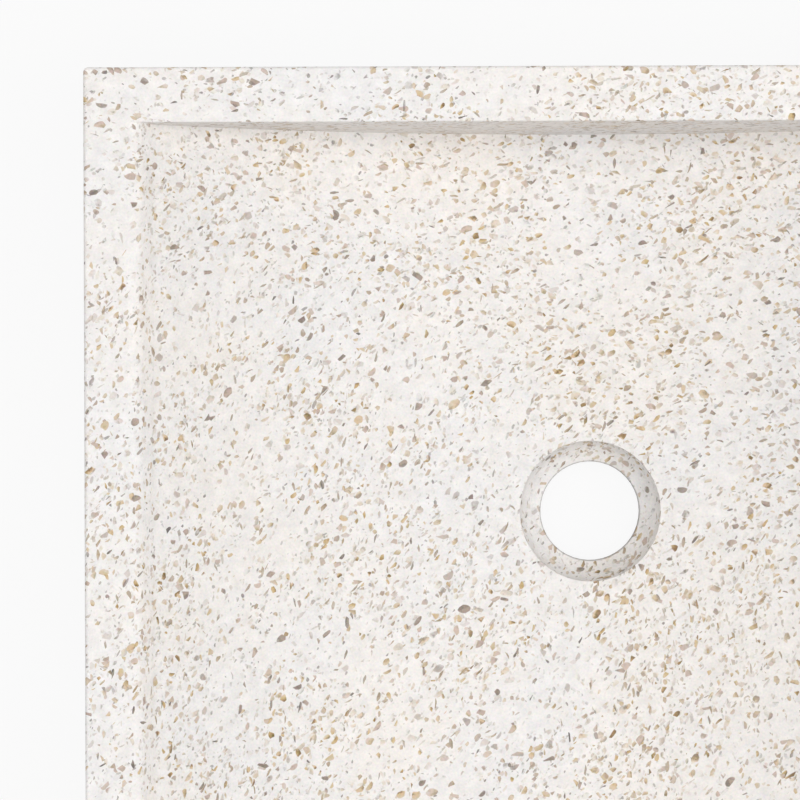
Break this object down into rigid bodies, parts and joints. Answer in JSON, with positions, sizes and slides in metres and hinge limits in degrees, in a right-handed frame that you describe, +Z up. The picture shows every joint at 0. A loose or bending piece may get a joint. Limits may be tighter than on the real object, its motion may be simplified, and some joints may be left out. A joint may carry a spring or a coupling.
{
  "type": "countertop basin",
  "caption": "Rectangular cast terrazzo countertop basin with a flat rim, a trough floor curved from end to end, a dished open drain and rubber pads underneath.",
  "frame": {"origin": "on the drain axis, at the counter that the pads stand on", "axes": "+X along the long side, to the right in the picture; +Y to the back, up in the picture; +Z up"},
  "size_m": [0.455, 0.4, 0.099],
  "materials": {
    "terrazzo": "honed",
    "mortar": "trowelled",
    "steel_rod": "galvanised",
    "rubber_pad": "matt"
  },
  "bodies": {
    "root": {"basin_casting": "terrazzo", "backing_coat": "mortar", "long_rod_1": "steel_rod", "long_rod_2": "steel_rod", "long_rod_3": "steel_rod", "long_rod_4": "steel_rod", "cross_rod_1": "steel_rod", "cross_rod_2": "steel_rod", "cross_rod_3": "steel_rod", "cross_rod_4": "steel_rod", "cross_rod_5": "steel_rod", "cross_rod_6": "steel_rod", "drain_hoop": "steel_rod", "foot_pad_front_left": "rubber_pad", "foot_pad_front_right": "rubber_pad", "foot_pad_back_left": "rubber_pad", "foot_pad_back_right": "rubber_pad"}
  },
  "joints": []
}
